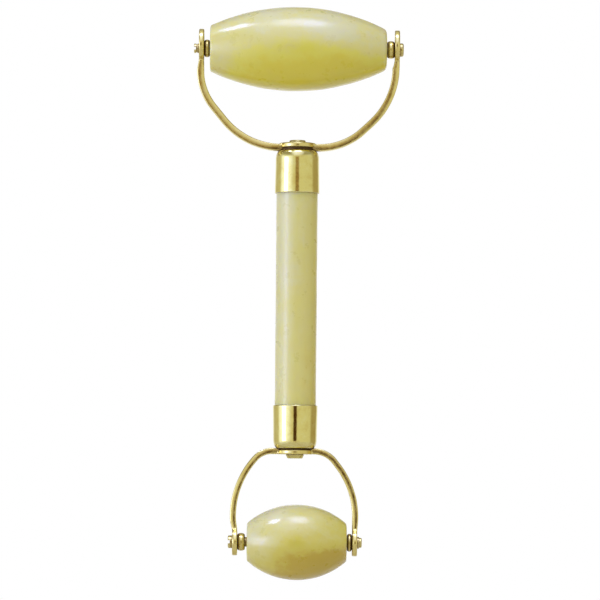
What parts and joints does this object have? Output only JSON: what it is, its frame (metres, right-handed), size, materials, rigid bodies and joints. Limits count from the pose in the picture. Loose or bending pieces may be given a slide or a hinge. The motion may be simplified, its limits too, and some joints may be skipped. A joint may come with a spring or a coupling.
{
  "type": "jade face roller",
  "caption": "Double-ended face massage roller: slim jade handle with brass end caps, a long barrel roller in a wide swivel fork and a short fat roller in a narrow one",
  "frame": {"origin": "middle of the handle, on its axis", "axes": "+Z along the handle towards the large roller, X along both roller axles, Y through the thickness"},
  "size_m": [0.0531, 0.0212, 0.1448],
  "materials": {
    "jade": "polished",
    "gold_plate": "polished",
    "brass": "satin",
    "brown_brass": "satin"
  },
  "bodies": {
    "handle": {"handle_stone": "jade", "large_end_cap": "gold_plate", "large_swivel_rivet": "gold_plate", "large_swivel_washer": "brown_brass", "large_backing_washer": "brass", "small_end_cap": "gold_plate", "small_swivel_rivet": "gold_plate", "small_swivel_washer": "brown_brass", "small_backing_washer": "brass"},
    "large_yoke": {"large_yoke": "gold_plate", "large_axle": "gold_plate", "large_left_spacer": "gold_plate", "large_right_spacer": "gold_plate"},
    "large_roller": {"large_roller_stone": "jade", "large_left_bush": "brass", "large_right_bush": "brass"},
    "small_yoke": {"small_yoke": "gold_plate", "small_axle": "gold_plate", "small_left_spacer": "gold_plate", "small_right_spacer": "gold_plate"},
    "small_roller": {"small_roller_stone": "jade", "small_left_bush": "brass", "small_right_bush": "brass"}
  },
  "joints": [
    {"name": "large_yoke_swivel", "type": "hinge", "parent": "handle", "child": "large_yoke", "pos_m": [0, 0, 0.0376], "axis": [0, 0, 1], "continuous": true},
    {"name": "large_roller_spin", "type": "hinge", "parent": "large_yoke", "child": "large_roller", "pos_m": [0, 0, 0.06345], "axis": [1, 0, 0], "continuous": true},
    {"name": "small_yoke_swivel", "type": "hinge", "parent": "handle", "child": "small_yoke", "pos_m": [0, 0, -0.0376], "axis": [0, 0, 1], "continuous": true},
    {"name": "small_roller_spin", "type": "hinge", "parent": "small_yoke", "child": "small_roller", "pos_m": [0, 0, -0.0612], "axis": [1, 0, 0], "continuous": true}
  ]
}
